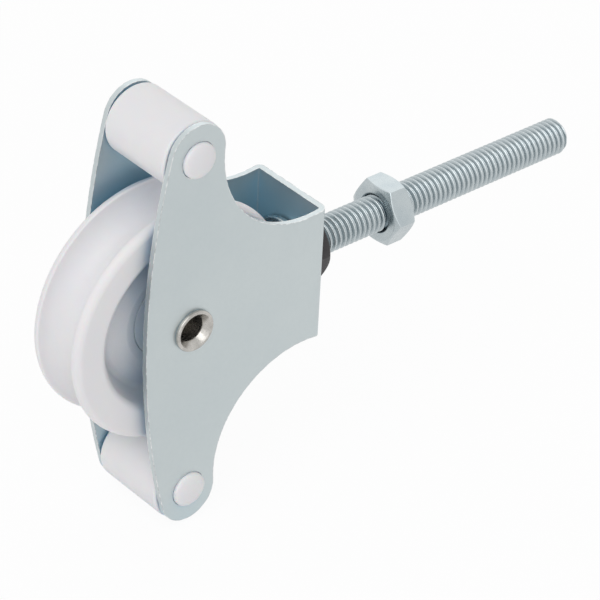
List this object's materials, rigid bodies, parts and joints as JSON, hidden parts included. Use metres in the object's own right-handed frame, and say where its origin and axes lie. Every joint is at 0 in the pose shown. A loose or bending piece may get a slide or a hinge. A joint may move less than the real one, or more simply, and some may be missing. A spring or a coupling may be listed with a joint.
{
  "type": "sliding door roller",
  "caption": "Sliding door roller: grooved nylon wheel and two guide rollers in a folded steel bracket, on a long threaded stud with a nut.",
  "frame": {"origin": "centre of the wheel, on the axle rivet's axis, midway between the cheeks", "axes": "+X along the threaded stud away from the wheel, +Y along the axle from the near cheek to the far cheek, +Z along the cheeks' long axis towards the upper guide roller"},
  "size_m": [0.1027, 0.018, 0.0706],
  "materials": {
    "zinc_sheet": "blue-white zinc plate, satin",
    "zinc_thread": "bright zinc plate on cut steel",
    "nickel_rivet": "bright rolled steel",
    "white_nylon": "moulded white nylon, soft sheen",
    "bearing_steel": "ground bearing steel",
    "black_nylon": "dull black nylon"
  },
  "bodies": {
    "bracket": {"bracket": "zinc_sheet", "axle_rivet": "nickel_rivet", "sleeve_near": "zinc_thread", "sleeve_far": "zinc_thread", "bearing_inner_race": "bearing_steel"},
    "wheel": {"wheel": "white_nylon", "bearing_outer_race": "bearing_steel", "shield_near": "white_nylon", "shield_far": "white_nylon"},
    "cage": {"cage_near": "bearing_steel", "cage_far": "bearing_steel", "cage_rivets": "bearing_steel", "bearing_balls": "bearing_steel"},
    "upper_roller": {"guide_roller_upper": "white_nylon"},
    "lower_roller": {"guide_roller_lower": "white_nylon"},
    "stud": {"stud": "zinc_thread", "head_washer": "zinc_thread", "retaining_ring": "black_nylon"},
    "nut": {"nut": "zinc_thread"}
  },
  "joints": [
    {"name": "wheel_spin", "type": "hinge", "parent": "bracket", "child": "wheel", "pos_m": [0, 0, 0], "axis": [0, 1, 0], "continuous": true},
    {"name": "cage_spin", "type": "hinge", "parent": "bracket", "child": "cage", "pos_m": [0, 0, 0], "axis": [0, 1, 0], "continuous": true},
    {"name": "upper_roller_spin", "type": "hinge", "parent": "bracket", "child": "upper_roller", "pos_m": [0, 0, 0.0296], "axis": [0, 1, 0], "continuous": true},
    {"name": "lower_roller_spin", "type": "hinge", "parent": "bracket", "child": "lower_roller", "pos_m": [0, 0, -0.0296], "axis": [0, 1, 0], "continuous": true},
    {"name": "stud_swivel", "type": "hinge", "parent": "bracket", "child": "stud", "pos_m": [0.05, 0, 0], "axis": [1, 0, 0], "continuous": true},
    {"name": "nut_travel", "type": "slide", "parent": "stud", "child": "nut", "axis": [1, 0, 0], "range_m": [-0.0131, 0.035]}
  ],
  "couplings": [
    {"joint": "cage_spin", "follows": "wheel_spin", "ratio": 0.63158}
  ]
}
